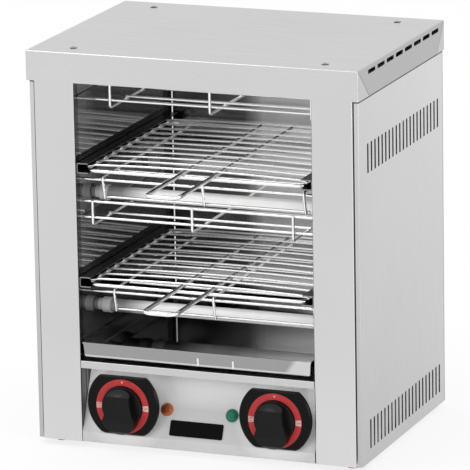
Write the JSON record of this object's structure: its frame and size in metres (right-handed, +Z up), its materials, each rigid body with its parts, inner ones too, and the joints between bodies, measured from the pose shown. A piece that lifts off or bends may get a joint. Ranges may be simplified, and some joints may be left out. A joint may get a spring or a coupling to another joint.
{
  "type": "two deck quartz toaster",
  "caption": "Stainless countertop toaster with an open front, pull-out wire racks between quartz heating tubes, timer knobs and a crumb tray.",
  "frame": {"origin": "middle of the bounding box at the level that the feet stand on", "axes": "+X to the right seen from the front, +Y towards the back panel, +Z up"},
  "size_m": [0.3428, 0.359, 0.3982],
  "materials": {
    "body_sheet": "satin brushed",
    "chamber_sheet": "polished",
    "rail_steel": "dark satin",
    "chrome_wire": "bright plated",
    "quartz": "milky quartz",
    "heating_wire": "oxidised",
    "ceramic": "unglazed ceramic",
    "terminal_metal": "bare",
    "wire_sleeve": "woven glass sleeve",
    "knob_plastic": "semi-gloss",
    "bezel_plastic": "semi-gloss",
    "dial_red": "semi-gloss print",
    "shaft_steel": "turned",
    "timer_case": "moulded",
    "orange_lens": "clear orange",
    "green_lens": "clear green",
    "holder_plastic": "moulded",
    "badge_black": "gloss",
    "foot_rubber": "moulded",
    "screw_steel": "bright zinc",
    "gland_plastic": "moulded"
  },
  "bodies": {
    "casing": {"top_cover": "body_sheet", "left_side_panel": "body_sheet", "right_side_panel": "body_sheet", "left_front_column": "body_sheet", "right_front_column": "body_sheet", "front_header": "body_sheet", "rear_header": "body_sheet", "back_panel": "body_sheet", "base_plate": "body_sheet", "control_panel": "body_sheet", "sill_shelf": "body_sheet", "left_chamber_wall": "chamber_sheet", "right_chamber_wall": "chamber_sheet", "chamber_back_wall": "chamber_sheet", "ceiling_reflector": "chamber_sheet", "tray_runners": "chamber_sheet", "lower_left_rail": "rail_steel", "lower_right_rail": "rail_steel", "upper_left_rail": "rail_steel", "upper_right_rail": "rail_steel", "top_guard": "chrome_wire", "middle_upper_guard": "chrome_wire", "middle_lower_guard": "chrome_wire", "bottom_guard": "chrome_wire", "top_quartz_tubes": "quartz", "middle_quartz_tubes": "quartz", "bottom_quartz_tubes": "quartz", "heating_cores": "heating_wire", "tube_end_caps": "ceramic", "terminal_block": "ceramic", "tube_terminals": "terminal_metal", "left_bus_wires": "wire_sleeve", "right_bus_wires": "wire_sleeve", "supply_wires": "wire_sleeve", "left_bezel": "bezel_plastic", "right_bezel": "bezel_plastic", "left_dial_ring": "dial_red", "right_dial_ring": "dial_red", "left_timer": "timer_case", "right_timer": "timer_case", "orange_pilot_lens": "orange_lens", "green_pilot_lens": "green_lens", "pilot_holders": "holder_plastic", "badge_plate": "badge_black", "feet": "foot_rubber", "foot_fasteners": "screw_steel", "cover_screws": "screw_steel", "back_screws": "screw_steel", "base_screws": "screw_steel", "timer_screws": "screw_steel", "cable_gland": "gland_plastic"},
    "upper_rack": {"upper_rack": "chrome_wire", "upper_rack_handle": "chrome_wire"},
    "lower_rack": {"lower_rack": "chrome_wire", "lower_rack_handle": "chrome_wire"},
    "crumb_tray": {"crumb_tray": "chamber_sheet"},
    "left_knob": {"left_knob": "knob_plastic", "left_knob_shaft": "shaft_steel"},
    "right_knob": {"right_knob": "knob_plastic", "right_knob_shaft": "shaft_steel"}
  },
  "joints": [
    {"name": "upper_rack_slide", "type": "slide", "parent": "casing", "child": "upper_rack", "axis": [0, -1, 0], "range_m": [0, 0.2]},
    {"name": "lower_rack_slide", "type": "slide", "parent": "casing", "child": "lower_rack", "axis": [0, -1, 0], "range_m": [0, 0.2]},
    {"name": "crumb_tray_slide", "type": "slide", "parent": "casing", "child": "crumb_tray", "axis": [0, -1, 0], "range_m": [0, 0.2]},
    {"name": "left_timer_turn", "type": "hinge", "parent": "casing", "child": "left_knob", "pos_m": [-0.07685, -0.0889, 0.0469], "axis": [0, 1, 0], "range_deg": [0, 270]},
    {"name": "right_timer_turn", "type": "hinge", "parent": "casing", "child": "right_knob", "pos_m": [0.08265, -0.0889, 0.0469], "axis": [0, 1, 0], "range_deg": [0, 270]}
  ]
}
